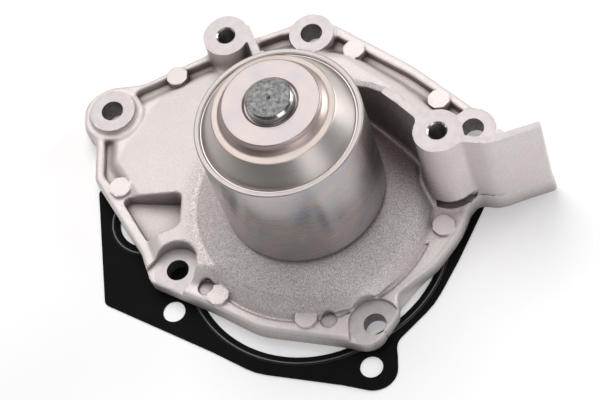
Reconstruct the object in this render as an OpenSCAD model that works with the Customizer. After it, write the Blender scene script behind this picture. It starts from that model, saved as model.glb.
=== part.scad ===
// Belt-driven water pump: cast housing, bearing, face seal, pulley, impeller and gasket.
// Heights named *_h are measured from the mounting face of the housing.
// The model's origin is on the shaft axis at the middle of the belt surface, +Z towards the shaft nose.

/* [Pulley] */
// Diameter of the smooth belt surface
pulley_d = 60; // [59:0.5:61]
// Length of the drum along the shaft
pulley_len = 47; // [46:0.5:47.5]
// Height of the drum's lower edge
pulley_base_h = 22; // [21.5:0.25:22.5]
// Wall thickness of the drum
drum_wall = 2; // [1.8:0.1:2.2]
// Diameter of the raised disc on the hub
hub_disc_d = 35; // [34:0.5:36]

/* [Shaft and bearing] */
// Shaft diameter in the bearing and the pulley
shaft_d = 17; // [16.8:0.1:17.2]
// Shaft diameter at the seal and the impeller
journal_d = 12; // [11.8:0.1:12]
// Height of the shaft nose
shaft_nose_h = 85; // [84:0.5:86]
// Outside diameter of the bearing
bearing_d = 35; // [34:0.5:35]
// Height of the bearing's lower end
bearing_base_h = 28; // [27.5:0.5:28]
// Length of the bearing's outer ring
bearing_len = 42; // [41:0.5:42]
// Ball diameter
ball_d = 5.556; // [5.4:0.052:5.556]
// Roller diameter
roller_d = 4.5; // [4.4:0.05:4.5]

/* [Impeller] */
// Impeller diameter
impeller_d = 62; // [56:1:62]
// Number of vanes
vane_count = 6; // [5:1:7]
// Thickness of the plate and the vanes
impeller_sheet = 1.6; // [1.4:0.1:1.8]

/* [Housing] */
// Height of the raised rim round the flange
rim_h = 8; // [7.5:0.25:8.5]
// Thickness of the flange inside the rim
plate_h = 5; // [4.5:0.25:5.5]
// Height of the spot-faced bolt seats
seat_h = 6; // [5.5:0.25:6]
// Height of the raised bolt bosses
boss_h = 10.5; // [10:0.25:11]
// Height of the ejector pads
pad_h = 9.5; // [9:0.1:10]
// Height of the dome under the pulley
dome_h = 20; // [19.5:0.25:20.5]
// Height of the short threaded post
short_post_h = 19; // [18:0.5:21]
// Height of the tall threaded post, the guard wall and the guard plate
guard_h = 44; // [42:0.5:45]
// Diameter of the bolt holes
bolt_hole_d = 8.4; // [8.4:0.1:9]
// Core diameter of the threaded holes
thread_core_d = 6.7; // [6.6:0.05:6.8]

/* [Gasket] */
// Thickness of the gasket sheet
gasket_sheet = 0.5; // [0.4:0.1:0.6]
// Height of the raised sealing beads above the sheet
bead_rise = 0.5; // [0.3:0.1:0.5]
// How far the loose gasket lies from its fitted place
gasket_offset = [-2.6, -13.5]; // [-14:0.1:14]

/* [Hidden] */

$fn = 96;
belt_h = pulley_base_h + pulley_len / 2;
pulley_r = pulley_d / 2;
drum_bore_r = pulley_r - drum_wall;
shaft_r = shaft_d / 2;
journal_r = journal_d / 2;
step_h = 24;
shaft_end_h = 1;
bearing_r = bearing_d / 2;
bearing_top_h = bearing_base_h + bearing_len;
race_bore_r = 12.2;

// Ball row near the seal, roller row near the pulley
ball_r = ball_d / 2;
ball_h = 38;
ball_pitch_r = 10.3;
ball_count = 9;
groove_r = ball_r + 0.06;
roller_r = roller_d / 2;
roller_len = 10;
roller_h = 58;
roller_pitch_r = shaft_r + roller_r + 0.02;
roller_count = 12;
track_r = roller_pitch_r + roller_r + 0.03;

// Face seal stack
seal_bore_r = 15;
seal_seat_h = 12;
cup_wall = 1;
cup_top_h = 22.6;
face_h = 13.6;
face_gap = 0.05;
sleeve_base_h = 9.8;

// Bolt and post centres on the flange
bolt_left = [-77, 49];
bolt_top = [0.5, 74.5];
bolt_right = [60.6, 26];
bolt_low_right = [22.5, -49.5];
bolt_low_left = [-50.6, -20.2];
short_post = [-31, 72];
tall_post = [52, 5];
port = [-61.5, 19];
guard_bend = [26.3, 31.5];
guard_low = [-18.8, 62.5];
pads = [[-52.2, 62.5], [16.6, 66], [48.4, 39.8], [48.7, -13.8], [-2, -45.9], [-34.5, -33.5], [-73, 15.7]];
ejector_marks = [[-39.2, -29.6], [6, -47.2]];
pad_r = 3.9;
lobe_r = 11.5;
post_r = 8.8;
small_lobe_r = 8.6;

// Flange outline as [x, y, corner radius], anticlockwise
flange_outline = [
    [30.8, -46, 2], [31, -38.5, 4], [45, -28, 30], [54.5, -15, 30], [60, -0.8, 3],
    [69.5, -2.8, 14], [89, 2, 1], [88.2, 4.8, 1], [78, 3, 5], [73.5, 22.5, 6],
    [63.5, 33.5, 3], [39, 57, 60], [10.5, 78.5, 6], [0, 84, 8], [-12, 80, 8],
    [-42, 71.5, 6], [-66, 61.5, 10], [-78, 61.5, 8], [-88.5, 56, 8], [-88.5, 43, 5],
    [-83.8, 38, 8], [-83.6, 21, 6], [-64.5, -12.5, 8], [-61, -23.8, 4],
    [-38, -36.5, 20], [-20, -47.8, 20], [12, -55.4, 8], [22, -59, 8]
];
// Outline of the lower floor inside the rim
floor_outline = [
    [-80.6, 38.5, 5], [-80.4, 22, 6], [-69, 2.5, 4], [-40, -8, 4], [40, -8, 4], [55, 12, 4],
    [58.5, 33.5, 3], [37.5, 53.3, 40], [10, 73.6, 6], [-5, 77, 4], [-12, 77, 6], [-41, 68.5, 6],
    [-68, 58.5, 4], [-74, 50, 4]
];
// Outer edge of the gasket in its fitted place
gasket_outline = [
    [32, -46, 3], [31.6, -40.5, 6], [46, -26.5, 30], [55, -10, 40], [66.5, 14, 10],
    [69.5, 24, 6], [63, 34, 8], [38, 57, 40], [10, 79, 8], [0, 83.5, 8], [-12, 80, 8],
    [-42, 71, 8], [-62, 61, 8], [-68, 50, 6], [-81.5, 33.5, 2], [-77.2, -14.5, 3],
    [-36, -38, 25], [-20, -48, 25], [12, -55.6, 20], [23, -59, 9], [32, -57, 8]
];

function unit(v) = v / norm(v);
function turned(v, a) = [v.x * cos(a) - v.y * sin(a), v.x * sin(a) + v.y * cos(a)];
function turn_angle(u, v) = atan2(u.x * v.y - u.y * v.x, u * v);
function flat(p) = [p.x, p.y];
// Points of one rounded corner at b, between neighbours a and c
function corner(a, b, c, r) =
    let (
        u = unit(a - b),
        w = unit(c - b),
        half = abs(turn_angle(u, w)) / 2,
        reach = r / tan(half),
        centre = b + unit(u + w) * (r / sin(half)),
        start = b + u * reach - centre,
        sweep = turn_angle(start, b + w * reach - centre),
        steps = max(2, ceil(abs(sweep) / 12))
    )
    [for (i = [0:steps]) centre + turned(start, sweep * i / steps)];
function rounded(pts) =
    let (n = len(pts))
    [for (i = [0:n - 1]) each corner(
        flat(pts[(i + n - 1) % n]), flat(pts[i]), flat(pts[(i + 1) % n]), pts[i].z)];
module at_datum() translate([0, 0, -belt_h]) children();
module ring(r_out, r_in, base, top) {
    translate([0, 0, base]) difference() {
        cylinder(r = r_out, h = top - base);
        translate([0, 0, -1]) cylinder(r = r_in, h = top - base + 2);
    }
}
module post(p, r, top, base = 0) translate([p.x, p.y, base]) cylinder(r = r, h = top - base);

// ---- Housing ----
module flange_plate() {
    difference() {
        linear_extrude(rim_h) polygon(rounded(flange_outline));
        translate([0, 0, plate_h]) linear_extrude(rim_h) polygon(rounded(floor_outline));
    }
}
// Round dome under the pulley, with a lower collar set off towards the outlet side
module dome_shell() {
    rotate_extrude() polygon([[0, 0], [46.4, 0], [45.4, 9], [43.6, 13.6], [33, dome_h], [0, dome_h]]);
    translate([4, 3, 0]) cylinder(r = 46.8, h = 12);
    intersection() {
        linear_extrude(dome_h) polygon([
            [-78, 40], [-77.5, 27], [-73, 14], [-64, -6], [-45, -30], [0, -30],
            [43, 43], [20, 63], [-8, 70], [-40, 65], [-67, 54]]);
        rotate_extrude() polygon([[0, 0], [85, 0], [85, 7], [58, 12.5], [40, 14.5], [0, 15]]);
    }
}
module dome_hollow() {
    rotate_extrude() polygon([[0, -1], [42.2, -1], [42.2, 9], [29, 15.5], [0, 15.5]]);
    translate([4, 3, -1]) cylinder(r = 43, h = 8);
}
// Wall that shields the belt: curved beside the tall post, then straight and falling to the short one
module guard_wall() {
    intersection() {
        union() {
            rotate([0, 0, 14]) rotate_extrude(angle = 43) polygon([
                [37, 4], [38, 15.2], [39.8, guard_h], [42.8, guard_h], [48, 22], [57, 9], [58, 4]]);
            wall_run(guard_bend, guard_low, [
                [4.8, 4], [3.5, 15.2], [1.8, guard_h], [-2.4, guard_h], [-7.6, 20], [-12.5, 9], [-13, 4]]);
        }
        translate([35, 22.6, guard_h]) rotate([-22.5, 0, 52]) translate([-100, -100, -150])
            cube([200, 220, 150]);
    }
    low_top = short_post_h - 0.2;
    wall_run(guard_low, [-25, 74], [[2, 4], [2, low_top], [-2.2, low_top], [-2.2, 4]]);
}
// Extrudes a cross-section from one plan point to another; its left side is the section's +X
module wall_run(from, to, section) {
    run = to - from;
    translate([from.x, from.y, 0]) rotate([0, 0, atan2(run.y, run.x)]) rotate([90, 0, 90])
        linear_extrude(norm(run)) polygon(section);
}
module guard_plate() {
    linear_extrude(guard_h) polygon(rounded([
        [54, -2.4, 1], [60, -0.6, 1], [69.5, -2.6, 12], [88.8, 2.1, 0.6], [88, 4.7, 0.6],
        [69.5, 0.2, 12], [60.5, 2.2, 1], [54, 6, 1]]));
}
module raised_bosses() {
    post(bolt_left, lobe_r, rim_h);
    post(bolt_left, post_r, boss_h);
    post(bolt_top, small_lobe_r, boss_h);
    post(bolt_right, small_lobe_r, rim_h + 0.5);
    post(short_post, post_r, short_post_h);
    post(tall_post, post_r, guard_h);
    post(bolt_low_left, small_lobe_r, seat_h);
    post(bolt_low_right, small_lobe_r, seat_h);
    for (p = pads) post(p, pad_r, pad_h);
}
module bearing_neck() {
    post([0, 0], 22.5, bearing_top_h - 1, 14);
    post([0, 0], 19.5, 20, seal_seat_h);
}
module seat_cuts() {
    post(bolt_low_left, 8.8, dome_h + 1, seat_h);
    translate([bolt_low_left.x, bolt_low_left.y, seat_h]) rotate([0, 0, -135])
        translate([0, -8.7, 0]) cube([20, 17.4, dome_h]);
    post(bolt_low_right, 9.5, dome_h + 1, seat_h);
    translate([13.1, -62, seat_h]) cube([22, 12.5, dome_h]);
}
module casting_pocket() {
    translate([0, 0, 4]) linear_extrude(dome_h) polygon(rounded([
        [-72, 11.2, 2], [-61.8, -7.8, 2], [-49.8, -4.3, 2], [-49, 8.2, 2]]));
}
module bolt_holes() {
    for (p = [bolt_left, bolt_top, bolt_right, bolt_low_right, bolt_low_left])
        post(p, bolt_hole_d / 2, guard_h, -1);
    post(short_post, thread_core_d / 2, short_post_h + 1, 3);
    post(tall_post, thread_core_d / 2, guard_h + 1, guard_h - 28);
    for (p = ejector_marks) post(p, 3, rim_h + 6, rim_h - 1.6);
}
module shaft_bores() {
    post([0, 0], bearing_r, bearing_top_h + 1, bearing_base_h);
    post([0, 0], seal_bore_r, bearing_base_h + 1, seal_seat_h - 1);
    // Weep hole from the chamber behind the seal
    translate([0, 0, 25.3]) rotate([0, 90, -60]) cylinder(r = 2, h = 30);
}
module outlet_passage() {
    post(port, 8, 6.5, -1);
    translate([port.x, port.y - 6, -1]) cube([24, 12, 7.5]);
}
module pump_housing() {
    color("gainsboro") at_datum() difference() {
        union() {
            difference() {
                union() {
                    flange_plate();
                    dome_shell();
                    guard_wall();
                    guard_plate();
                    raised_bosses();
                }
                dome_hollow();
            }
            bearing_neck();
        }
        outlet_passage();
        seat_cuts();
        casting_pocket();
        bolt_holes();
        shaft_bores();
    }
}

// ---- Gasket ----
module opening_2d(grow) {
    circle(r = 43.5 + grow);
    translate([5, 4]) circle(r = 45 + grow);
}
module bead(outer, inner) {
    linear_extrude(gasket_sheet + bead_rise) difference() {
        opening_2d(outer);
        opening_2d(inner);
    }
}
module gasket() {
    color("#1d1d1f") at_datum()
        translate([gasket_offset.x, gasket_offset.y, -gasket_sheet - bead_rise - 0.1]) {
            difference() {
                union() {
                    linear_extrude(gasket_sheet) polygon(rounded(gasket_outline));
                    bead(3, 1.8);
                    translate([port.x, port.y, 0]) ring(14.4, 13.2, 0, gasket_sheet + bead_rise);
                }
                translate([0, 0, -1]) linear_extrude(3) opening_2d(0);
                translate([port.x, port.y, -1]) cylinder(r = 11, h = 3);
                translate([-74.7, 32.4, -1]) cylinder(r = 2.1, h = 3);
                for (p = [bolt_top, bolt_right, bolt_low_right, bolt_low_left])
                    translate([p.x, p.y, -1]) cylinder(r = bolt_hole_d / 2, h = 3);
            }
        }
}

// ---- Bearing ----
module bearing_outer_ring() {
    color("silver") at_datum() rotate_extrude() difference() {
        translate([race_bore_r, bearing_base_h]) square([bearing_r - race_bore_r, bearing_len]);
        translate([ball_pitch_r, ball_h]) circle(r = groove_r);
        translate([race_bore_r - 1, roller_h - roller_len / 2 - 0.3])
            square([track_r - race_bore_r + 1, roller_len + 0.6]);
        translate([race_bore_r - 1, bearing_base_h - 1]) square([2.8, 3]);
        translate([race_bore_r - 1, bearing_top_h - 2]) square([2.8, 3]);
    }
}
module lip_seal(base) {
    rotate_extrude() polygon([
        [shaft_r + 0.06, base + 0.2], [race_bore_r + 1.8, base + 0.2], [race_bore_r + 1.8, base + 1.7],
        [shaft_r + 1.6, base + 1.7], [shaft_r + 1.1, base + 1.2], [shaft_r + 0.06, base + 1.2]]);
}
module bearing_front_seal() color("#2b2b2b") at_datum() lip_seal(bearing_top_h - 1.9);
module bearing_rear_seal() color("#2b2b2b") at_datum() lip_seal(bearing_base_h);
module around(count, r, h) {
    for (i = [0:count - 1]) rotate([0, 0, 360 * i / count]) translate([r, 0, h]) children();
}
module bearing_balls() {
    color("lightgray") at_datum() around(ball_count, ball_pitch_r, ball_h) sphere(r = ball_r, $fn = 32);
}
module bearing_ball_cage() {
    color("tan") at_datum() difference() {
        ring(11.6, 9.2, ball_h - 3.4, ball_h + 3.4);
        around(ball_count, 0, ball_h) rotate([0, 90, 0]) cylinder(r = ball_r + 0.15, h = 20);
    }
}
module bearing_rollers() {
    color("lightgray") at_datum() around(roller_count, roller_pitch_r, roller_h)
        cylinder(r = roller_r, h = roller_len, center = true, $fn = 32);
}
module bearing_roller_cage() {
    color("tan") at_datum() difference() {
        ring(11.9, 9.6, roller_h - 6.4, roller_h + 6.4);
        around(roller_count, roller_pitch_r, roller_h)
            cylinder(r = roller_r + 0.12, h = roller_len + 0.3, center = true, $fn = 32);
    }
}

// ---- Face seal ----
module seal_cup() {
    color("#c9a24a") at_datum() rotate_extrude() polygon([
        [seal_bore_r, seal_seat_h], [18.5, seal_seat_h], [18.5, seal_seat_h - cup_wall],
        [seal_bore_r - cup_wall, seal_seat_h - cup_wall], [seal_bore_r - cup_wall, cup_top_h - 0.7],
        [9.6, cup_top_h - 0.7], [9.6, cup_top_h], [seal_bore_r, cup_top_h]]);
}
module seal_bellows() {
    color("#202020") at_datum() rotate_extrude() polygon([
        [7.4, 17.4], [10.4, 17.4], [10.4, 18.2], [9, 18.8], [9, 19.8], [10.4, 20.6],
        [13.8, 20.8], [13.8, cup_top_h - 0.75], [7.4, cup_top_h - 0.75]]);
}
// One closed coil: rings of points swept along a helix
module coil_spring(r, wire_r, base, top, turns, per_turn = 20, sides = 8) {
    last = turns * per_turn;
    points = [
        for (i = [0:last]) for (j = [0:sides - 1])
            let (a = 360 * i / per_turn, b = 360 * j / sides, rr = r + wire_r * cos(b))
            [rr * cos(a), rr * sin(a), base + (top - base) * i / last + wire_r * sin(b)]];
    skin = [
        for (i = [0:last - 1]) for (j = [0:sides - 1])
            let (k = (j + 1) % sides)
            [i * sides + j, (i + 1) * sides + j, (i + 1) * sides + k, i * sides + k]];
    polyhedron(points, concat(skin, [
        [for (j = [0:sides - 1]) j],
        [for (j = [sides - 1:-1:0]) last * sides + j]]));
}
module seal_spring() {
    color("silver") at_datum() coil_spring(12.3, 0.6, 15.9, 20, 3);
}
module seal_spring_seat() {
    color("silver") at_datum() ring(13.7, 10.85, 14.4, 15.2);
}
module seal_carbon_ring() {
    color("#3a3a3c") at_datum() rotate_extrude() polygon([
        [7.6, face_h + face_gap], [9.8, face_h + face_gap], [9.8, 14.4], [10.8, 14.4],
        [10.8, 17.35], [7.4, 17.35], [7.4, 14.4]]);
}
module seal_counter_ring() color("#55585c") at_datum() ring(12.2, 7, sleeve_base_h + 0.8, face_h);
module seal_sleeve() {
    color("silver") at_datum() rotate_extrude() polygon([
        [journal_r + 0.01, sleeve_base_h], [12.4, sleeve_base_h], [12.4, sleeve_base_h + 0.8],
        [7, sleeve_base_h + 0.8], [7, 16.5], [journal_r + 0.01, 16.5]]);
}
module slinger() color("#2b2b2b") at_datum() ring(12.5, journal_r + 0.01, 23.2, step_h);

// ---- Rotor ----
module shaft() {
    color("silver") at_datum() difference() {
        rotate_extrude() difference() {
            polygon([
                [0, shaft_end_h], [journal_r - 0.6, shaft_end_h], [journal_r, shaft_end_h + 0.6],
                [journal_r, step_h], [shaft_r, step_h], [shaft_r, shaft_nose_h - 0.7],
                [shaft_r - 0.7, shaft_nose_h], [0, shaft_nose_h]]);
            translate([ball_pitch_r, ball_h]) circle(r = groove_r);
        }
        translate([0, 0, shaft_nose_h - 0.6]) cylinder(r1 = 0.4, r2 = 1.2, h = 0.7);
    }
}
module pulley_drum() {
    color("silver") at_datum() rotate_extrude() polygon([
        [drum_bore_r, pulley_base_h], [pulley_r - 0.5, pulley_base_h], [pulley_r, pulley_base_h + 0.5],
        [pulley_r, pulley_base_h + pulley_len - 0.5], [pulley_r - 0.5, pulley_base_h + pulley_len],
        [drum_bore_r, pulley_base_h + pulley_len]]);
}
module pulley_hub() {
    rim_top = pulley_base_h + pulley_len;
    disc_r = hub_disc_d / 2;
    fit_r = drum_bore_r - 0.01;
    bore_r = shaft_r + 0.01;
    color("silver") at_datum() rotate_extrude() polygon([
        [fit_r, rim_top - 9], [fit_r, rim_top - 1.4], [fit_r - 0.9, rim_top - 1.4],
        [fit_r - 0.9, rim_top - 0.2], [21.4, rim_top + 8], [19.2, rim_top + 8],
        [disc_r, rim_top + 13], [10, rim_top + 13], [9.6, rim_top + 12], [bore_r, rim_top + 12],
        [bore_r, rim_top + 4], [12, rim_top + 4], [12, rim_top + 5.8],
        [19.4, rim_top + 5.8], [26, rim_top - 3], [26, rim_top - 9]]);
}
// One vane: a spiral strip from the hub to the rim of the plate
module vane() {
    r0 = 12;
    r1 = impeller_d / 2 - 0.5;
    sweep = 48;
    steps = 8;
    function spiral(t, side) =
        let (r = r0 + (r1 - r0) * t, a = -sweep * t + side * impeller_sheet / 2 / r * 80)
        [r * cos(a), r * sin(a)];
    polygon(concat(
        [for (i = [0:steps]) spiral(i / steps, -1)],
        [for (i = [steps:-1:0]) spiral(i / steps, 1)]));
}
module impeller() {
    plate_top = 9.8;
    color("#b8bcc2") at_datum() difference() {
        union() {
            post([0, 0], impeller_d / 2, plate_top, plate_top - impeller_sheet);
            post([0, 0], 12.5, plate_top, 1.5);
            translate([0, 0, 0.6]) for (i = [0:vane_count - 1]) rotate([0, 0, 360 * i / vane_count])
                linear_extrude(plate_top - 1.4) vane();
        }
        post([0, 0], journal_r + 0.01, plate_top + 1, -1);
    }
}

pump_housing();
gasket();
bearing_outer_ring();
bearing_front_seal();
bearing_rear_seal();
bearing_balls();
bearing_ball_cage();
bearing_rollers();
bearing_roller_cage();
seal_cup();
seal_bellows();
seal_spring();
seal_spring_seat();
seal_carbon_ring();
seal_counter_ring();
seal_sleeve();
slinger();
shaft();
pulley_drum();
pulley_hub();
impeller();
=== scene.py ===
"""Looks of a belt-driven water pump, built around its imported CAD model.

Plan sizes and heights are in millimetres, measured from the shaft axis and from the housing's mounting
face, as in the CAD source. placed() turns them into the frame's metres.
"""
import math

import bpy
import numpy as np
from mathutils import Matrix, Vector


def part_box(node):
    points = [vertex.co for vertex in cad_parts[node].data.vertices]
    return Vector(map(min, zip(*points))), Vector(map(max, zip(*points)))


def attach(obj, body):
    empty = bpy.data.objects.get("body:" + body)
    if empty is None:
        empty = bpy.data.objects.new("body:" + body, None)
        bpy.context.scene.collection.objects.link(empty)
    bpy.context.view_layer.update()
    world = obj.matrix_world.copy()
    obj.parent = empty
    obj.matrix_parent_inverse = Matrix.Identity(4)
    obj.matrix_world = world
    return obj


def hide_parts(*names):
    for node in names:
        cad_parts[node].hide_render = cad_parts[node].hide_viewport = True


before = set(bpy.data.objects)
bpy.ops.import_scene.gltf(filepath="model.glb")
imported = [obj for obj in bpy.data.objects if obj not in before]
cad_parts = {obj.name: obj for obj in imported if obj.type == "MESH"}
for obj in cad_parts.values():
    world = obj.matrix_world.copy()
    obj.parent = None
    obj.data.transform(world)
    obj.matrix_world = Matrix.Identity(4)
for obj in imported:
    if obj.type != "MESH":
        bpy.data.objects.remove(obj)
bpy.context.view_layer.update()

MM = 0.001
FACE_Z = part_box("pump_housing")[0].z
FLOOR_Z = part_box("gasket")[0].z

# Heights above the mounting face
RIM_H, FLOOR_H, SEAT_H, BOSS_H, EAR_H, PAD_H = 8.0, 5.0, 6.0, 10.5, 8.5, 9.5
DOME_H, DOME_EDGE_H, SHORT_POST_H, GUARD_H, NECK_H = 20.0, 14.2, 19.0, 44.0, 69.0
DRUM_LOW, DRUM_TOP, DISC_H, SHAFT_TOP = 22.05, 69.0, 81.9, 84.9
CHAMBER_H, PASSAGE_H, SHORT_HOLE_H, TALL_HOLE_H = 15.5, 6.5, 3.0, 16.0
# Plan places
BOLT_LEFT, BOLT_TOP, BOLT_RIGHT = (-77.0, 49.0), (0.5, 74.5), (60.6, 26.0)
BOLT_LOW_RIGHT, BOLT_LOW_LEFT = (22.5, -49.5), (-50.6, -20.2)
SHORT_POST, TALL_POST, PORT = (-31.0, 72.0), (52.0, 5.0), (-61.5, 19.0)
PADS = [(-52.2, 62.5), (16.6, 66), (48.4, 39.8), (48.7, -13.8), (-2, -45.9), (-34.5, -33.5), (-73, 15.7)]
MARKS = [(-39.2, -29.6), (6, -47.2)]
# Radii: the holes and their threads, the posts and bosses, then what turns or is bored on the shaft axis
HOLE_R, THREAD_R, MOUTH_R, LINING_R, POST_R, BOSS_R = 4.2, 3.35, 3.75, 4.1, 8.8, 8.6
SEAT_LEFT_R, SEAT_RIGHT_R, MARK_R, PAD_HALF = 8.8, 9.4, 3.0, 4.0
DOME_EDGE_R, CHAMBER_R, DRUM_R, DRUM_INSIDE_R, SHAFT_R = 41.4, 42.2, 30.0, 28.0, 8.5
# How far the gasket lies from its fitted place
GASKET_SHIFT = (-2.6, -13.5)

# Outlines as (x, y, corner radius), anticlockwise
FLANGE = [
    (30.8, -46, 2), (31, -38.5, 4), (45, -28, 30), (54.5, -15, 30), (60, -0.8, 3), (69.5, -2.8, 14),
    (89, 2, 1), (88.2, 4.8, 1), (78, 3, 5), (73.5, 22.5, 6), (63.5, 33.5, 3), (39, 57, 60),
    (10.5, 78.5, 6), (0, 84, 8), (-12, 80, 8), (-42, 71.5, 6), (-66, 61.5, 10), (-78, 61.5, 8),
    (-88.5, 56, 8), (-88.5, 43, 5), (-83.8, 38, 8), (-83.6, 21, 6), (-64.5, -12.5, 8),
    (-61, -23.8, 4), (-38, -36.5, 20), (-20, -47.8, 20), (12, -55.4, 8), (22, -59, 8),
]
RECESS = [
    (-80.6, 38.5, 5), (-80.4, 22, 6), (-76.5, 17.5, 3), (-62, 10, 4), (-40, -8, 4), (40, -8, 4), (55, 12, 4),
    (58.5, 33.5, 3), (37.5, 53.3, 40), (10, 73.6, 6), (-5, 77, 4), (-12, 77, 6), (-41, 68.5, 6),
    (-68, 58.5, 4), (-74, 50, 4),
]
PLATEAU = [
    (-78.4, 39, 5), (-78.4, 27, 8), (-75.2, 21, 6), (-70.5, 10, 6), (-64, -8, 5), (-58, -24, 5),
    (-43, -30, 6),
    (-20, -36, 10), (20, -36, 10), (40, -8, 5), (52, 14, 4), (52, 33, 4), (35.5, 50.5, 30), (16, 66.5, 8),
    (-10, 73.5, 8), (-41.5, 65.5, 8), (-66, 55.5, 5), (-73, 47, 4),
]
PLATE = [
    (54, -2.4, 1), (60, -0.6, 1), (69.5, -2.6, 12), (88.8, 2.1, 0.6), (88, 4.7, 0.6),
    (69.5, 0.2, 12), (60.5, 2.2, 1), (54, 6, 1),
]
POCKET = [(-72.5, 11.4, 1.5), (-61.8, -7.8, 1.5), (-49.8, -4.4, 2), (-49.2, 8, 2)]


# ---- Small tools ----
def rounded(corners, degrees=8):
    """Points of an outline whose corners are rounded to the radii given."""
    points = []
    for before, (x, y, radius), after in zip(corners[-1:] + corners[:-1], corners, corners[1:] + corners[:1]):
        here = np.array((x, y), float)
        u, w = np.array(before[:2]) - here, np.array(after[:2]) - here
        u, w = u / np.linalg.norm(u), w / np.linalg.norm(w)
        half = math.acos(np.clip(u @ w, -1, 1)) / 2
        bisector = (u + w) / np.linalg.norm(u + w)
        centre = here + bisector * radius / math.sin(half)
        start, end = here + u * radius / math.tan(half) - centre, here + w * radius / math.tan(half) - centre
        sweep = math.atan2(start[0] * end[1] - start[1] * end[0], start @ end)
        steps = max(2, math.ceil(abs(math.degrees(sweep)) / degrees))
        for i in range(steps + 1):
            c, s = math.cos(sweep * i / steps), math.sin(sweep * i / steps)
            points.append(centre + (start[0] * c - start[1] * s, start[0] * s + start[1] * c))
    return np.array(points)


def outline_distance(x, y, points):
    """Signed distance to a closed outline, negative inside."""
    best = np.full(np.broadcast(x, y).shape, np.inf)
    inside = np.zeros(best.shape, bool)
    for (ax, ay), (bx, by) in zip(points, np.roll(points, -1, 0)):
        dx, dy = bx - ax, by - ay
        t = np.clip(((x - ax) * dx + (y - ay) * dy) / (dx * dx + dy * dy + 1e-12), 0, 1)
        best = np.minimum(best, (x - ax - t * dx) ** 2 + (y - ay - t * dy) ** 2)
        if dy:
            inside ^= ((ay > y) != (by > y)) & (x < dx * (y - ay) / dy + ax)
    return np.where(inside, -1, 1) * np.sqrt(best)


class PlanField:
    """An outline's signed distance, kept in a table so that many points can read it quickly."""
    PITCH, LOW, HIGH = 0.4, (-96.0, -70.0), (98.0, 94.0)

    def __init__(self, corners):
        axes = [np.arange(a, b, self.PITCH) for a, b in zip(self.LOW, self.HIGH)]
        self.table = outline_distance(axes[0][:, None], axes[1][None, :], rounded(corners)).astype(np.float32)

    def __call__(self, x, y):
        u = np.clip((x - self.LOW[0]) / self.PITCH, 0, self.table.shape[0] - 1.001)
        v = np.clip((y - self.LOW[1]) / self.PITCH, 0, self.table.shape[1] - 1.001)
        i, j = u.astype(int), v.astype(int)
        fu, fv = (u - i).astype(np.float32), (v - j).astype(np.float32)
        t = self.table
        low = t[i, j] * (1 - fu) + t[i + 1, j] * fu
        high = t[i, j + 1] * (1 - fu) + t[i + 1, j + 1] * fu
        return low * (1 - fv) + high * fv


def blend_min(a, b, k):
    """The smaller of two fields, with a fillet of about k where they meet."""
    h = np.clip(0.5 + 0.5 * (b - a) / k, 0, 1)
    return b + (a - b) * h - k * h * (1 - h)


def blend_max(a, b, k):
    return -blend_min(-a, -b, k)


def disc(x, y, centre, radius):
    """Signed distance to a circle in plan."""
    return np.hypot(x - centre[0], y - centre[1]) - radius


def placed(points):
    """Millimetres above the mounting face to metres in the frame."""
    return np.asarray(points, float) * MM + (0, 0, FACE_Z)


# ---- Housing as a solid field: negative inside the metal ----
flange_plan, recess_plan, plateau_plan = PlanField(FLANGE), PlanField(RECESS), PlanField(PLATEAU)
plate_plan, pocket_plan = PlanField(PLATE), PlanField(POCKET)

# The guard wall's ridge from the short post to the tall one: plan place, top and outer spread
RIDGE = [
    (-23.6, 76, 21, 0.5), (-19, 62.6, 20.5, 1.5), (-11.9, 57.6, 21.8, 6), (1.9, 48, 27.5, 12),
    (15.8, 38.2, 33.2, 15), (22.7, 33.4, 36, 17), (27.7, 29.6, 40, 18), (31.6, 25.9, 42.8, 18),
    (34.9, 22.7, 45.5, 17), (38.9, 19.0, 46, 15), (43.4, 14.2, 46, 12), (50, 7, 46, 8),
]
# Half the wall's thickness at its top, and how much it and the posts widen towards their feet
WALL_HALF, WALL_DRAFT, POST_DRAFT = 1.3, 2.6, 0.02


def guard_wall(x, y, z):
    """The curved wall along the ridge: steep towards the drum, spreading outwards to its foot."""
    best = np.full(np.broadcast(x, y).shape, 1e9)
    across, top, spread = best.copy(), best.copy(), best.copy()
    for (ax, ay, atop, aspread), (bx, by, btop, bspread) in zip(RIDGE, RIDGE[1:]):
        dx, dy = bx - ax, by - ay
        t = np.clip(((x - ax) * dx + (y - ay) * dy) / (dx * dx + dy * dy), 0, 1)
        gap = np.hypot(x - ax - t * dx, y - ay - t * dy)
        side = np.sign(dx * (y - ay) - dy * (x - ax))
        near = gap < best
        best = np.where(near, gap, best)
        across = np.where(near, gap * side, across)
        top = np.where(near, atop + (btop - atop) * t, top)
        spread = np.where(near, aspread + (bspread - aspread) * t, spread)
    drop = np.clip((top - z) / (top - FLOOR_H), 0, 1.2)
    inner = -across - WALL_HALF - WALL_DRAFT * drop
    outer = (across - WALL_HALF - spread * (0.55 * drop + 0.45 * drop ** 3)) * 0.8
    return blend_max(blend_max(inner, outer, 0.5), (z - top) * 0.9, 0.6)


def dome(x, y, z):
    """The dome's field; its foot swells towards the lower right bolt seat."""
    seat = disc(x, y, BOLT_LOW_RIGHT, 0)
    r = np.hypot(x, y) - 3.2 * np.exp(-((seat / 13) ** 2))
    slope = DOME_EDGE_H + (DOME_EDGE_R - r) * 0.5
    foot = DOME_EDGE_H + (DOME_EDGE_R - r) * 1.55
    height = blend_min(blend_min(slope, foot, 1.6), DOME_H + 0 * r, 2.0)
    return (z - height) * 0.6


def plateau(x, y, z):
    """The raised field behind the dome, highest near the drum."""
    r = np.hypot(x, y)
    top = 7.5 + 6.5 * np.clip((80 - r) / 36, 0, 1)
    height = blend_min(top, 4.6 - 1.5 * plateau_plan(x, y), 3.0)
    return (z - height) * 0.6


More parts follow.
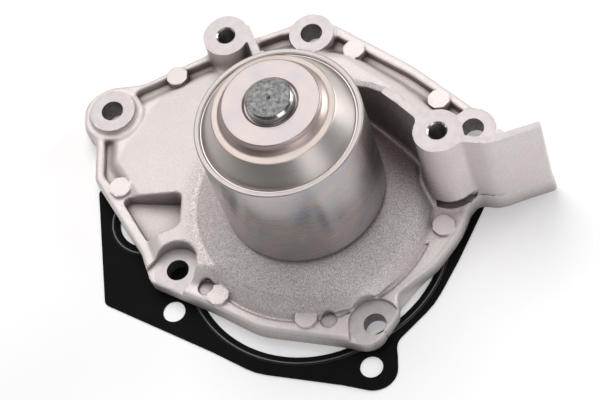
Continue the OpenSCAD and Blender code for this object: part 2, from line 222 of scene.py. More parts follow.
def post(x, y, z, centre, radius, top, edge=0.35):
    """A round post or boss that widens a little towards its foot."""
    side = disc(x, y, centre, radius) - POST_DRAFT * (top - z)
    return blend_max(side, z - top, edge)


def pad(x, y, z, centre):
    """An ejector pad: a low post with eight soft sides."""
    u, v = x - centre[0], y - centre[1]
    turned = np.maximum(np.abs(u + v), np.abs(u - v)) * 0.7071
    side = blend_max(np.maximum(np.abs(u), np.abs(v)), turned, 0.6) - PAD_HALF
    return blend_max(side, z - PAD_H, 0.4)


def guard(x, y, z, edge):
    """The guard: wall, two posts and plate run into each other, and one cut faces each post."""
    flare = 2.6 * np.exp(-np.clip(z - RIM_H, 0, 40) / 6)
    lip = (z < 8.6) * 0.9 * np.clip((80 - x) / 12, 0, 1)
    metal = np.maximum(guard_wall(x, y, z), edge + 1.5)
    metal = blend_min(metal, disc(x, y, TALL_POST, POST_R) - flare, 2.4)
    metal = blend_min(metal, plate_plan(x, y) - lip - 0.012 * (GUARD_H - z), 2.4)
    short_side = disc(x, y, SHORT_POST, POST_R) - POST_DRAFT * (SHORT_POST_H - z)
    short = np.maximum(short_side, z - SHORT_POST_H - 2)
    metal = blend_min(metal, short, 1.2)
    metal = blend_max(metal, z - GUARD_H, 0.35)
    return blend_max(metal, np.minimum(z - SHORT_POST_H, -disc(x, y, SHORT_POST, 17.5)), 0.35)


def rim_line(x, y, z):
    """The shallow line between the rim and the dome's foot, negative inside."""
    return np.maximum(np.hypot(np.hypot(x, y) - 46.6, z - RIM_H - 0.3) - 0.9, y + 20)


def post_hollow(x, y, z):
    """The hollow round the tall post's foot, negative inside."""
    ring = np.abs(disc(x, y, TALL_POST, POST_R + 1.5)) - 1.2
    low, high = 7.2, 10.5
    return np.maximum(np.maximum(ring, low - z), np.maximum(z - high, np.maximum(y + 1.5, 46.5 - x)))


def casting(x, y, z):
    """The casting's outer shape, before its seats, marks and bores."""
    edge = flange_plan(x, y)
    side = edge + 0.035 * np.abs(z - 4)
    metal = blend_max(side, z - RIM_H, 1.6)
    metal = blend_max(metal, -np.maximum(recess_plan(x, y) + 0.2 * (RIM_H - z), FLOOR_H - z), 0.9)
    metal = blend_min(metal, np.maximum(plateau(x, y, z), edge + 2), 1.4)
    metal = blend_min(metal, dome(x, y, z), 1.0)
    metal = blend_min(metal, post(x, y, z, BOLT_LEFT, 11.4, RIM_H, edge=1.2), 1.2)
    for centre, radius, top in (
        (BOLT_LEFT, POST_R, BOSS_H), (BOLT_TOP, BOSS_R, BOSS_H), (BOLT_RIGHT, BOSS_R, EAR_H),
    ):
        metal = blend_min(metal, post(x, y, z, centre, radius, top), 1.4)
    metal = blend_min(metal, guard(x, y, z, edge), 2.2)
    metal = blend_max(metal, -rim_line(x, y, z), 0.4)
    for centre in PADS:
        metal = blend_min(metal, pad(x, y, z, centre), 0.5)
    return blend_max(metal, -post_hollow(x, y, z), 0.8)


def hollows(x, y, z):
    """The two low screw seats, the pocket and the ejector marks, negative inside each."""
    seat_left = np.maximum(disc(x, y, BOLT_LOW_LEFT, SEAT_LEFT_R), SEAT_H - z)
    out = (x - BOLT_LOW_LEFT[0]) * -0.707 + (y - BOLT_LOW_LEFT[1]) * -0.707
    across = (x - BOLT_LOW_LEFT[0]) * 0.707 + (y - BOLT_LOW_LEFT[1]) * -0.707
    channel = np.maximum(np.maximum(-out, np.abs(across) - SEAT_LEFT_R), SEAT_H - z)
    seat_right = np.maximum(disc(x, y, BOLT_LOW_RIGHT, SEAT_RIGHT_R), SEAT_H - z)
    side_right = np.maximum(np.maximum(13.2 - x, y - BOLT_LOW_RIGHT[1]), SEAT_H - z)
    pocket = np.maximum(pocket_plan(x, y) - 0.12 * (z - 4), 4 - z)
    cut = np.minimum(np.minimum(seat_left, channel), np.minimum(seat_right, side_right))
    cut = np.minimum(cut, pocket)
    for centre in MARKS:
        cut = np.minimum(cut, np.maximum(disc(x, y, centre, MARK_R), RIM_H - 1.2 - z))
    return cut


def bores(x, y, z):
    """The impeller chamber, the outlet passage and every hole, negative inside each."""
    r = np.hypot(x, y)
    chamber = np.maximum(np.maximum(r - CHAMBER_R, z - 9), -1 - z)
    volute = np.maximum(disc(x, y, (4, 3), 43), z - 7)
    roof = np.maximum(np.maximum(r - 29 - (CHAMBER_H - z) * 2.03, r - CHAMBER_R), z - CHAMBER_H)
    cut = np.minimum(np.minimum(chamber, volute), roof)
    sides = np.abs(y - PORT[1]) - 6
    run = np.maximum(np.maximum(PORT[0] - x, x - PORT[0] - 24), sides)
    cut = np.minimum(cut, np.maximum(np.minimum(disc(x, y, PORT, 8), run), z - PASSAGE_H))
    for centre in (BOLT_LEFT, BOLT_TOP, BOLT_RIGHT, BOLT_LOW_RIGHT, BOLT_LOW_LEFT):
        cut = np.minimum(cut, disc(x, y, centre, HOLE_R))
    for centre, top, bottom in (
        (SHORT_POST, SHORT_POST_H, SHORT_HOLE_H), (TALL_POST, GUARD_H, TALL_HOLE_H),
    ):
        cut = np.minimum(cut, np.maximum(disc(x, y, centre, MOUTH_R), bottom - z))
        cut = np.minimum(cut, np.maximum(np.maximum(disc(x, y, centre, LINING_R), bottom - z), z - top + 1))
    return cut


def housing_field(x, y, z):
    """The whole casting up to the foot of its neck, with its mounting face at z = 0."""
    r = np.hypot(x, y)
    metal = blend_max(casting(x, y, z), -hollows(x, y, z), 0.6)
    metal = np.maximum(metal, -bores(x, y, z))
    neck = np.maximum(r - 22.5, 12 - z)
    metal = np.minimum(metal, np.maximum(neck, z - 30))
    metal = np.maximum(metal, -np.maximum(r - 15.0, z - 60))
    return np.maximum(metal, -z)


# ---- Meshing ----
def field_slope(field, points):
    """The field's unit slope at each point."""
    shifts = np.eye(3) * 0.03
    slope = np.stack([field(*(points + shift).T) - field(*(points - shift).T) for shift in shifts], 1)
    return slope / (np.linalg.norm(slope, axis=1)[:, None] + 1e-9)


def grid_crossings(field, value, low, step, axis):
    """The grid edges along one axis that the surface crosses, the points, and which edges leave metal."""
    near, far = [slice(None)] * 3, [slice(None)] * 3
    near[axis], far[axis] = slice(None, -1), slice(1, None)
    a, b = value[tuple(near)], value[tuple(far)]
    crossed = (a < 0) != (b < 0)
    index = np.argwhere(crossed)
    leaves = a[crossed] < 0
    a, b = a[crossed].astype(float), b[crossed].astype(float)
    t0, t1 = np.zeros(len(a)), np.ones(len(a))
    for _ in range(3):
        t = t0 + (t1 - t0) * np.clip(a / (a - b), 0.05, 0.95)
        point = low + step * index
        point[:, axis] += step * t
        v = field(*point.T)
        same = (v < 0) == (a < 0)
        t0, a = np.where(same, t, t0), np.where(same, v, a)
        t1, b = np.where(same, t1, t), np.where(same, b, v)
    return index, point, leaves


def cell_points(ids, offset, normal, step):
    """One point per cell, as an offset from its centre that fits the planes through its crossings."""
    used, inverse = np.unique(ids, return_inverse=True)

    def total(w):
        return np.bincount(inverse, w, len(used))

    count = total(np.ones(len(ids)))
    mean = np.stack([total(offset[:, k]) for k in range(3)], 1) / count[:, None]
    matrix = np.zeros((len(used), 3, 3))
    for i in range(3):
        for j in range(i, 3):
            matrix[:, i, j] = matrix[:, j, i] = total(normal[:, i] * normal[:, j])
    reach = (normal * offset).sum(1)
    right = np.stack([total(reach * normal[:, k]) for k in range(3)], 1)
    right -= np.einsum("nij,nj->ni", matrix, mean)
    matrix += np.eye(3) * 0.08 * count[:, None, None] / 4
    shift = mean + np.linalg.solve(matrix, right[..., None])[..., 0]
    return used, np.clip(shift, -0.5 * step, 0.5 * step)


def surface_of(field, low, high, step):
    """Dual contouring: one point per cell that the surface crosses, placed to keep creases sharp."""
    low = np.array(low, float)
    axes = [np.arange(a, b + step, step) for a, b in zip(low, high)]
    value = field(*(a.astype(np.float32) for a in np.meshgrid(*axes, indexing="ij", sparse=True)))
    cells = np.array(value.shape) - 1
    loops, ids, offsets, normals = [], [], [], []
    for axis in range(3):
        index, point, leaves = grid_crossings(field, value, low, step, axis)
        around = []
        for db, dc in ((-1, -1), (0, -1), (0, 0), (-1, 0)):
            cell = index.copy()
            cell[:, (axis + 1) % 3] += db
            cell[:, (axis + 2) % 3] += dc
            around.append(cell)
        around = np.stack(around, 1)
        loop = np.ravel_multi_index(around.reshape(-1, 3).T, cells).reshape(-1, 4)
        loops.append(np.where(leaves[:, None], loop, loop[:, ::-1]))
        centre = low + step * (around + 0.5)
        ids.append(loop.ravel())
        offsets.append((point[:, None] - centre).reshape(-1, 3))
        normals.append(np.repeat(field_slope(field, point), 4, 0))
    used, shift = cell_points(np.concatenate(ids), np.concatenate(offsets), np.concatenate(normals), step)
    corner = np.stack(np.unravel_index(used, cells), 1)
    return low + step * (corner + 0.5) + shift, np.searchsorted(used, np.concatenate(loops))


def ring_faces(rings, points, flipped=False):
    """Quads of a closed grid: each ring of points is joined to the next one, and the last to the first."""
    i, j = np.meshgrid(np.arange(rings), np.arange(points), indexing="ij")
    next_i, next_j = (i + 1) % rings, (j + 1) % points
    corners = [i * points + j, next_i * points + j, next_i * points + next_j, i * points + next_j]
    faces = np.stack(corners, -1).reshape(-1, 4)
    return faces[:, [0, 3, 2, 1]] if flipped else faces


def mesh_object(name, vertices, faces, material, smooth_angle=35):
    """A new object in the scene; an array of faces holds quads."""
    mesh = bpy.data.meshes.new(name)
    if isinstance(faces, np.ndarray):
        mesh.vertices.add(len(vertices))
        mesh.vertices.foreach_set("co", np.asarray(vertices, np.float32).ravel())
        mesh.loops.add(faces.size)
        mesh.loops.foreach_set("vertex_index", faces.ravel().astype(np.int32))
        mesh.polygons.add(len(faces))
        mesh.polygons.foreach_set("loop_start", np.arange(0, faces.size, 4, dtype=np.int32))
        mesh.update(calc_edges=True)
    else:
        mesh.from_pydata([tuple(v) for v in vertices], [], faces)
    mesh.validate()
    mesh.shade_smooth()
    mesh.set_sharp_from_angle(angle=math.radians(smooth_angle))
    piece = bpy.data.objects.new(name, mesh)
    bpy.context.scene.collection.objects.link(piece)
    for m in material if isinstance(material, (list, tuple)) else [material]:
        mesh.materials.append(m)
    return piece


def lathe(name, profile, material, segments=160):
    """Turns a closed profile of (radius, height, corner radius) round the shaft axis."""
    outline = rounded(profile, 12)
    n = len(outline)
    angles = np.arange(segments) * 2 * math.pi / segments
    vertices = np.zeros((segments, n, 3))
    vertices[..., 0] = np.cos(angles)[:, None] * outline[:, 0]
    vertices[..., 1] = np.sin(angles)[:, None] * outline[:, 0]
    vertices[..., 2] = outline[:, 1]
    return mesh_object(name, placed(vertices.reshape(-1, 3)), ring_faces(segments, n), material, 30)


# ---- Materials ----
class Nodes:
    """Short names for building one material's nodes."""

    def __init__(self, name, **values):
        self.material = bpy.data.materials.new(name)
        self.material.use_nodes = True
        self.tree = self.material.node_tree
        self.shader = self.tree.nodes["Principled BSDF"]
        for key, value in values.items():
            self.shader.inputs[key.replace("_", " ")].default_value = value
        self.place = self.tree.nodes.new("ShaderNodeTexCoord").outputs["Object"]

    def add(self, kind, inputs=(), **settings):
        node = self.tree.nodes.new(kind)
        for key, value in settings.items():
            setattr(node, key, value)
        for key, value in dict(inputs).items():
            if isinstance(value, bpy.types.NodeSocket):
                self.tree.links.new(value, node.inputs[key])
            else:
                node.inputs[key].default_value = value
        return node

    def noise(self, size_mm, detail=3.0, rough=0.6, place=None):
        inputs = {"Vector": place or self.place, "Scale": 1 / (size_mm * MM)}
        inputs.update({"Detail": detail, "Roughness": rough})
        return self.add("ShaderNodeTexNoise", inputs).outputs["Fac"]

    def ramp(self, value, *stops):
        node = self.add("ShaderNodeValToRGB", {"Fac": value})
        points = node.color_ramp.elements
        while len(points) < len(stops):
            points.new(0.5)
        for point, (at, colour) in zip(points, stops):
            point.position = at
            point.color = (*colour, 1) if isinstance(colour, tuple) else (colour, colour, colour, 1)
        return node.outputs["Color"]

    def mix(self, factor, a, b, mode="MIX"):
        node = self.add("ShaderNodeMix", data_type="RGBA", blend_type=mode)
        for key, value in ((0, factor), (6, a), (7, b)):
            if isinstance(value, bpy.types.NodeSocket):
                self.tree.links.new(value, node.inputs[key])
            else:
                node.inputs[key].default_value = value if key == 0 else (*value, 1)
        return node.outputs[2]

    def to(self, key, socket):
        self.tree.links.new(socket, self.shader.inputs[key])

    def bump(self, height, depth_mm, strength=1.0, below=None):
        inputs = {"Height": height, "Distance": depth_mm * MM, "Strength": strength}
        if below:
            inputs["Normal"] = below
        return self.add("ShaderNodeBump", inputs).outputs["Normal"]


def cast_metal():
    """Shot-blasted casting: coarse grain on the dome, finer elsewhere, with painted shade in its hollows."""
    n = Nodes("cast_aluminium", Metallic=0.35, Roughness=0.55)
    patches = n.ramp(n.noise(14, 4), (0.3, (0.78, 0.72, 0.705)), (0.7, (0.85, 0.8, 0.785)))
    flat = n.add("ShaderNodeVectorMath", {0: n.place, 1: (1, 1, 0)}, operation="MULTIPLY").outputs[0]
    radius = n.add("ShaderNodeVectorMath", {0: flat}, operation="LENGTH").outputs["Value"]
    outwards = n.add("ShaderNodeMath", {0: radius, 1: 10}, operation="MULTIPLY").outputs[0]
    coarse = n.ramp(outwards, (0.43, 1.0), (0.5, 0.08))
    grain = n.noise(0.33, 1, 0.6)
    dark = n.mix(coarse, (0.72, 0.665, 0.65), (0.36, 0.315, 0.305))
    skin = n.mix(n.ramp(grain, (0.36, 0.0), (0.6, 1.0)), dark, patches)
    # Painted shade: ambient occlusion darkens the base colour in hollows, corners and close to the drum.
    open_sky = n.add("ShaderNodeAmbientOcclusion", {"Distance": 20 * MM}, samples=8).outputs["AO"]
    painted_hollow_shade = n.ramp(open_sky, (0.28, (0.16, 0.125, 0.115)), (0.8, (1.0, 1.0, 1.0)))
    n.to("Base Color", n.mix(1.0, skin, painted_hollow_shade, "MULTIPLY"))
    n.to("Roughness", n.ramp(n.noise(0.9, 2), (0.3, 0.46), (0.7, 0.62)))
    broad = n.bump(n.noise(5, 3), 0.1, 0.6)
    n.to("Normal", n.bump(grain, 0.045, 0.6, broad))
    return n.material


def machined_metal():
    """Milled faces: smoother and greyer than the cast skin."""
    n = Nodes("machined_aluminium", Metallic=0.25, Roughness=0.45)
    tone = n.ramp(n.noise(3, 4, 0.7), (0.3, (0.54, 0.5, 0.495)), (0.7, (0.63, 0.585, 0.58)))
    n.to("Base Color", tone)
    n.to("Roughness", n.ramp(n.noise(0.5, 3), (0.3, 0.4), (0.7, 0.52)))
    n.to("Normal", n.bump(n.noise(0.35, 2), 0.01, 0.5))
    return n.material


def hole_shade_metal():
    """Painted shade: a dark material for the walls of the holes and threads."""
    n = Nodes("hole_painted_shade", Metallic=0.7, Roughness=0.45)
    n.to("Base Color", n.ramp(n.noise(0.8, 3), (0.3, (0.15, 0.135, 0.135)), (0.7, (0.27, 0.25, 0.245))))
    return n.material


def turned_steel(name, tone, roughness, ring_mm=0.35, depth=0.01, stain=(0.5, 0.42, 0.34), stain_share=0.25):
    """Steel with fine rings round the shaft axis and faint warm stains."""
    n = Nodes(name, Metallic=1.0, Roughness=roughness)
    split = n.add("ShaderNodeSeparateXYZ", {"Vector": n.place}).outputs
    squares = [n.add("ShaderNodeMath", {0: s, 1: s}, operation="MULTIPLY").outputs[0] for s in split[:2]]
    total = n.add("ShaderNodeMath", {0: squares[0], 1: squares[1]}, operation="ADD").outputs[0]
    radius = n.add("ShaderNodeMath", {0: total, 1: 0.5}, operation="POWER").outputs[0]
    rings = n.add("ShaderNodeCombineXYZ", {"X": radius, "Z": split[2]}).outputs[0]
    line = n.noise(ring_mm, 3, 0.65, rings)
    cloud = n.noise(11, 3, 0.55)
    light = tuple(min(1, 1.12 * c) for c in tone)
    fine = n.ramp(line, (0.3, tone), (0.7, light))
    n.to("Base Color", n.mix(n.ramp(cloud, (0.42, 0.0), (0.75, stain_share)), fine, stain))
    n.to("Roughness", n.ramp(line, (0.25, roughness * 0.8), (0.75, roughness * 1.35)))
    n.to("Normal", n.bump(line, depth, 0.6))
    return n.material


def worn_steel():
    """The shaft's end: blue-grey, mottled and pitted."""
    n = Nodes("worn_steel", Metallic=0.9, Roughness=0.4)
    mottle = n.noise(1.4, 5, 0.65)
    dark, middle, light = (0.075, 0.08, 0.083), (0.13, 0.133, 0.132), (0.2, 0.195, 0.188)
    n.to("Base Color", n.ramp(mottle, (0.34, dark), (0.5, middle), (0.68, light)))
    n.to("Roughness", n.ramp(mottle, (0.3, 0.5), (0.7, 0.34)))
    n.to("Normal", n.bump(n.noise(0.7, 4, 0.7), 0.05, 0.7))
    return n.material


def plain_steel(name, tone, roughness):
    """Bare metal with a fine grain."""
    n = Nodes(name, Metallic=1.0, Roughness=roughness)
    grain = n.noise(0.6, 4, 0.65)
    n.to("Base Color", n.ramp(grain, (0.3, tuple(0.85 * c for c in tone)), (0.7, tone)))
    n.to("Roughness", n.ramp(grain, (0.3, roughness * 0.8), (0.7, roughness * 1.25)))
    n.to("Normal", n.bump(grain, 0.01, 0.5))
    return n.material


def matte(name, tone, roughness):
    """Rubber, plastic, carbon or ceramic with a fine grain."""
    n = Nodes(name, Roughness=roughness)
    grain = n.noise(0.4, 4, 0.6)
    n.to("Base Color", n.ramp(grain, (0.3, tuple(0.7 * c for c in tone)), (0.7, tone)))
    n.to("Roughness", n.ramp(grain, (0.3, roughness * 0.85), (0.7, min(1, roughness * 1.15))))
    n.to("Normal", n.bump(grain, 0.02, 0.6))
    return n.material


def gasket_coat():
    """The sheet gasket's black coating."""
    n = Nodes("gasket_coat", Roughness=0.5, Specular_IOR_Level=0.04)
    cloud = n.noise(9, 4)
    n.to("Base Color", n.ramp(cloud, (0.3, (0.004, 0.004, 0.0045)), (0.7, (0.008, 0.008, 0.009))))
    n.to("Roughness", n.ramp(cloud, (0.3, 0.5), (0.7, 0.7)))
    n.to("Normal", n.bump(n.noise(0.5, 3), 0.01, 0.5))
    return n.material


CAST, MACHINED, HOLE_SHADE = cast_metal(), machined_metal(), hole_shade_metal()
GASKET_COAT = gasket_coat()
BEAD_COAT = matte("bead_coat", (0.05, 0.048, 0.052), 0.22)
DRUM_FINISHES = [
    turned_steel("drum_steel", (0.47, 0.42, 0.405), 0.25, 0.5, 0.001, (0.33, 0.36, 0.44), 0.7),
    # Painted shade: a darker, rougher copy of the drum steel for faces that look up, toning down their
    # highlight.
    turned_steel("drum_top_painted_shade", (0.31, 0.29, 0.285), 0.4, 0.5, 0.002),
]
HUB_FINISHES = [
    turned_steel("hub_steel", (0.47, 0.44, 0.425), 0.38, 0.5, 0.003),
    turned_steel("disc_steel", (0.325, 0.285, 0.272), 0.36, 0.4, 0.006, (0.25, 0.255, 0.3), 0.5),
    turned_steel("step_steel", (0.5, 0.41, 0.39), 0.42, 0.5, 0.003),
    turned_steel("shoulder_steel", (0.6, 0.525, 0.49), 0.42, 0.5, 0.003),
]
SHAFT_STEEL = plain_steel("ground_steel", (0.6, 0.6, 0.6), 0.22)
CHAMFER_STEEL = plain_steel("cut_chamfer", (0.75, 0.72, 0.7), 0.3)
WORN = worn_steel()


# ---- Pieces ----
def make_housing():
    """The casting, with machined faces and hole walls painted dark as shade, picked out by where each face
    lies.
    """
    step = 0.6
    low, high = (-90.3, -61.3, -0.7), (91, 85.5, 45.2)
    vertices, quads = surface_of(housing_field, low, high, step)
    piece = mesh_object("housing_casting", placed(vertices), quads, [CAST, MACHINED, HOLE_SHADE], 38)
    mesh = piece.data
    centres, normals = np.zeros(len(mesh.polygons) * 3), np.zeros(len(mesh.polygons) * 3)
    mesh.polygons.foreach_get("center", centres)
    mesh.polygons.foreach_get("normal", normals)
    x, y, z = (centres.reshape(-1, 3) - (0, 0, FACE_Z)).T / MM
    up = normals.reshape(-1, 3)[:, 2]
    slot = np.zeros(len(x), np.int32)
    for centre, radius, top in (
        (BOLT_LEFT, 8.6, BOSS_H), (BOLT_TOP, 8.4, BOSS_H), (BOLT_RIGHT, 8.4, EAR_H),
        (SHORT_POST, 17, SHORT_POST_H), (BOLT_LOW_RIGHT, 9.3, SEAT_H), (BOLT_LOW_LEFT, 9, SEAT_H),
    ):
        slot[(disc(x, y, centre, radius) < 0) & (np.abs(z - top) < 0.2) & (up > 0.97)] = 1
    slot[(z > GUARD_H - 0.2) & (up > 0.97)] = 1
    slot[(z < 0.1) & (up < -0.97)] = 1
    holes = [(c, HOLE_R) for c in (BOLT_LEFT, BOLT_TOP, BOLT_RIGHT, BOLT_LOW_RIGHT, BOLT_LOW_LEFT)]
    for centre, radius in holes + [(SHORT_POST, MOUTH_R), (TALL_POST, MOUTH_R)]:
        # Hole walls take the dark material: painted shade.
        slot[(disc(x, y, centre, radius + 0.1) < 0) & (np.abs(up) < 0.5)] = 2
    mesh.polygons.foreach_set("material_index", slot)
    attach(piece, "housing")
    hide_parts("pump_housing")


def make_neck():
    """The bearing neck that stands inside the drum."""
    inside, outside, foot = 17.52, 22.4, 28
    profile = [(inside, foot, 0.2), (outside, foot, 0.2), (outside, NECK_H, 0.8), (inside, NECK_H, 0.4)]
    piece = lathe("housing_neck", profile, MACHINED)
    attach(piece, "housing")


def make_threads():
    """The two tapped holes: a bright chamfer over a thread of 1.25 mm pitch, the thread painted dark as
    shade.
    """
    pitch, height, segments, depth = 1.25, 0.5, 64, 13.0
    crest = THREAD_R - 0.1
    for name, centre, top in (
        ("short_post_thread", SHORT_POST, SHORT_POST_H), ("tall_post_thread", TALL_POST, GUARD_H),
    ):
        rows = np.arange(0.6, depth, pitch / 8)
        angle = np.arange(segments) * 2 * math.pi / segments
        phase = (rows[None, :] / pitch + angle[:, None] / (2 * math.pi)) % 1
        heights = np.concatenate(([-0.04, -0.5], -rows, [-depth - 0.2, -depth - 0.2]))
        n = len(heights)
        radius = np.full((segments, n), LINING_R - 0.02)
        radius[:, 0] = MOUTH_R - 0.02
        radius[:, 1] = crest
        radius[:, 2:-2] = crest + height * np.abs(2 * phase - 1)
        radius[:, -2] = crest
        vertices = np.zeros((segments, n, 3))
        vertices[..., 0] = centre[0] + np.cos(angle)[:, None] * radius
        vertices[..., 1] = centre[1] + np.sin(angle)[:, None] * radius
        vertices[..., 2] = top + heights
        faces = ring_faces(segments, n, flipped=True)
        piece = mesh_object(name, placed(vertices.reshape(-1, 3)), faces, [HOLE_SHADE, CHAMFER_STEEL], 50)
        for face in piece.data.polygons:
            face.material_index = int(face.center.z > FACE_Z + (top - 0.5) * MM)
        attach(piece, "housing")


def main_bead_path():
    """The bead round the gasket's main opening, which is two circles run together."""
    rays = np.arange(360) * math.pi / 180
    rays = np.stack((np.cos(rays), np.sin(rays)), 1)
    middle = np.array((2.5, 2.0))
    reach = np.zeros(len(rays))
    for cx, cy, radius in ((0, 0, 45.9), (5, 4, 47.4)):
        start = middle - (cx, cy)
        along = rays @ start
        reach = np.maximum(reach, np.sqrt(along ** 2 - start @ start + radius ** 2) - along)
    return middle + rays * reach[:, None]


def port_bead_path():
    angles = np.arange(0, 360, 4) * math.pi / 180
    return np.array(PORT) + np.stack((np.cos(angles), np.sin(angles)), 1) * 13.8


def make_gasket_beads():
    """Rounded sealing beads that lie over the sheet's square ones."""
    half, rise, sheet_top = 0.85, 0.54, -0.6
    turn = np.linspace(0, math.pi, 9)
    section = [(-half, -0.02)] + [(-0.8 * math.cos(t), rise * math.sin(t)) for t in turn] + [(half, -0.02)]
    n = len(section)
    for name, path in (("gasket_bead", main_bead_path()), ("gasket_port_bead", port_bead_path())):
        path = path + GASKET_SHIFT
        run = np.roll(path, -1, 0) - np.roll(path, 1, 0)
        side = np.stack((run[:, 1], -run[:, 0]), 1) / np.linalg.norm(run, axis=1)[:, None]
        vertices = np.zeros((len(path), n, 3))
        for k, (across, up) in enumerate(section):
            vertices[:, k, :2] = path + side * across
            vertices[:, k, 2] = sheet_top + up
        faces = ring_faces(len(path), n, flipped=True)
        piece = mesh_object(name, placed(vertices.reshape(-1, 3)), faces, BEAD_COAT, 50)
        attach(piece, "loose_gasket")


def drum_finish(r, up):
    """Which of DRUM_FINISHES a face takes, from how far it looks up; its radius r is not used."""
    # Faces that look up take the darker copy: painted shade.
    return int(up > 0.6)


def hub_finish(r, up):
    """Which of HUB_FINISHES a face takes, from its radius and how far it looks up."""
    if r >= 22.2:
        return 0
    if r < 17.4 and up > 0.75:
        return 1
    return 2 if r < 19.2 else 3


def make_pulley():
    """The belt drum and the stepped hub that closes it."""
    drum = [
        (DRUM_INSIDE_R, DRUM_LOW, 0.3), (DRUM_R, DRUM_LOW, 0.35), (DRUM_R, DRUM_TOP, 0.45),
        (DRUM_INSIDE_R + 0.3, DRUM_TOP, 0.2), (DRUM_INSIDE_R, DRUM_TOP - 0.4, 0.15),
    ]
    hub = [
        (27.96, 60.1, 0.4), (27.96, 68.2, 0.15), (27.4, 68.2, 0.2), (26.9, 68.9, 0.5), (21.9, 77.3, 0.9),
        (19.4, 77.8, 1.5), (17.6, 79.6, 0.6), (17.5, DISC_H, 0.6), (9.9, DISC_H, 0.6), (9.2, 81.1, 0.2),
        (8.56, 81.1, 0.1), (8.56, 73, 0.2), (12, 73, 0.4), (12, 75, 0.6), (19.2, 75, 0.8), (26, 66, 0.8),
        (26, 60.1, 0.4),
    ]
    for name, profile, finishes, finish_of, node, slot in (
        ("drum_shell", drum, DRUM_FINISHES, drum_finish, "pulley_drum", "pulley_steel"),
        ("hub_cap", hub, HUB_FINISHES, hub_finish, "pulley_hub", "hub_steel"),
    ):
        piece = lathe(name, profile, finishes, 224)
        for face in piece.data.polygons:
            face.material_index = finish_of(math.hypot(face.center.x, face.center.y) / MM, face.normal.z)
        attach(piece, "rotor")
        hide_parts(node)


def make_shaft():
    """The bearing shaft: a thin tail for the impeller, a groove, a chamfered end and a centre mark."""
    axis, tail, groove = 0.001, 6, 7.6
    profile = [
        (axis, 1, 0.0005), (tail, 1, 0.6), (tail, 24, 0.1), (SHAFT_R, 24, 0.3), (SHAFT_R, 35.9, 0.1),
        (groove, 37, 0.8), (groove, 39, 0.8), (SHAFT_R, 40.1, 0.1), (SHAFT_R, 83.7, 0.3),
        (7.7, SHAFT_TOP, 0.4), (0.7, SHAFT_TOP, 0.3), (axis, 84.5, 0.0005),
    ]
    piece = lathe("shaft_turned", profile, [SHAFT_STEEL, WORN], 128)
    for face in piece.data.polygons:
        if face.center.z > FACE_Z + 84 * MM and face.normal.z > 0.85:
            face.material_index = 1
    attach(piece, "rotor")
    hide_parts("shaft")


def finish_cad_nodes():
    """Materials for the CAD nodes that stay as they are."""
    rubber = matte("black_rubber", (0.022, 0.022, 0.024), 0.55)
    cage = matte("cage_plastic", (0.42, 0.27, 0.13), 0.45)
    steel = plain_steel("bearing_steel", (0.62, 0.62, 0.64), 0.18)
    pressed = plain_steel("pressed_steel", (0.55, 0.55, 0.55), 0.34)
    brass = plain_steel("cup_brass", (0.7, 0.5, 0.22), 0.3)
    carbon = matte("carbon", (0.05, 0.05, 0.055), 0.35)
    ceramic = matte("ceramic", (0.13, 0.14, 0.15), 0.25)
    finishes = {
        "gasket": GASKET_COAT, "bearing_outer_ring": steel, "bearing_front_seal": rubber,
        "bearing_rear_seal": rubber, "bearing_balls": steel, "bearing_ball_cage": cage,
        "bearing_rollers": steel, "bearing_roller_cage": cage, "seal_cup": brass,
        "seal_bellows": rubber, "seal_spring": steel, "seal_spring_seat": pressed,
        "seal_carbon_ring": carbon, "seal_counter_ring": ceramic, "seal_sleeve": pressed,
        "slinger": rubber, "impeller": pressed,
    }
    for name, material in finishes.items():
        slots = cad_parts[name].data.materials
        slots.clear()
        slots.append(material)


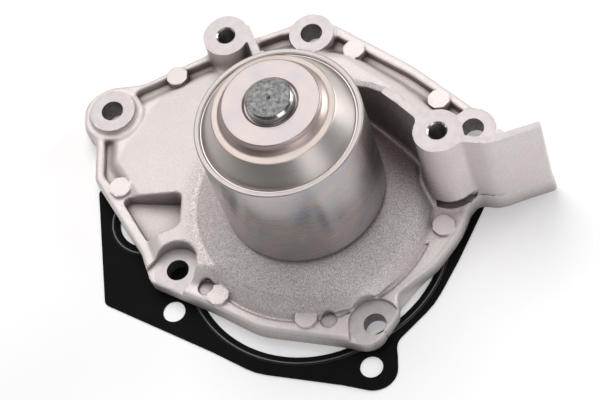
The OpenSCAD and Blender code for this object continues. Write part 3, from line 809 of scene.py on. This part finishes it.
# ---- Surroundings ----
def make_floor():
    """A plain pale floor just under the gasket."""
    n = Nodes("floor_white", Roughness=0.6, Emission_Color=(1, 1, 1, 1), Emission_Strength=0.16)
    n.to("Base Color", n.ramp(n.noise(60, 2), (0.3, (0.93, 0.93, 0.93)), (0.7, (0.95, 0.95, 0.95))))
    size = 3.0
    corners = [(-size, -size), (size, -size), (size, size), (-size, size)]
    floor = mesh_object("floor", [(x, y, FLOOR_Z - 0.0001) for x, y in corners], [(0, 1, 2, 3)], n.material)


def area_light(name, place, target, size, power, colour=(1, 1, 1)):
    """A rectangular lamp that faces its target."""
    data = bpy.data.lights.new(name, "AREA")
    data.shape, data.size, data.size_y = "RECTANGLE", size[0], size[1]
    data.energy, data.color = power, colour
    light = bpy.data.objects.new(name, data)
    light.location = place
    light.rotation_euler = (Vector(target) - Vector(place)).to_track_quat("-Z", "Y").to_euler()
    bpy.context.scene.collection.objects.link(light)


def make_lights():
    """A wide soft key light behind the pump, one above its front, and panels left, right and front right."""
    world = bpy.data.worlds.new("studio")
    world.use_nodes = True
    background = world.node_tree.nodes["Background"]
    background.inputs["Color"].default_value = (0.9, 0.88, 0.88, 1)
    background.inputs["Strength"].default_value = 0.08
    bpy.context.scene.world = world
    area_light("key", (-0.27, 0.68, 1.2), (0, 0, 0), (1.3, 1.3), 16.5, (1.0, 0.985, 0.98))
    area_light("top", (0.15, -0.55, 1.25), (0, 0, 0), (0.6, 0.6), 3.4)
    area_light("left", (-1.15, -0.1, 0.45), (0, 0, 0.02), (0.7, 0.7), 0.8)
    area_light("right", (1.15, 0.62, 0.3), (0, 0, 0.05), (0.7, 0.55), 8)
    area_light("front", (0.95, -1.1, 0.5), (0.03, 0, 0), (0.8, 0.8), 5, (0.98, 0.98, 1.0))


def make_camera():
    """The photograph's viewing angle."""
    right, up, back = (0.9805, 0.0, -0.1965), (0.0969, 0.8699, 0.4836), (0.1709, -0.4932, 0.8530)
    data = bpy.data.cameras.new("camera")
    data.lens, data.sensor_width = 144, 36
    camera = bpy.data.objects.new("camera", data)
    turn = Matrix((right, up, back)).transposed().to_4x4()
    camera.matrix_world = Matrix.Translation(placed([146.7, -432.8, 762.0])) @ turn
    bpy.context.scene.collection.objects.link(camera)
    bpy.context.scene.camera = camera


make_camera()
make_lights()
make_floor()
make_housing()
make_neck()
make_threads()
make_gasket_beads()
make_pulley()
make_shaft()
finish_cad_nodes()
bpy.context.scene.view_settings.view_transform = "Standard"
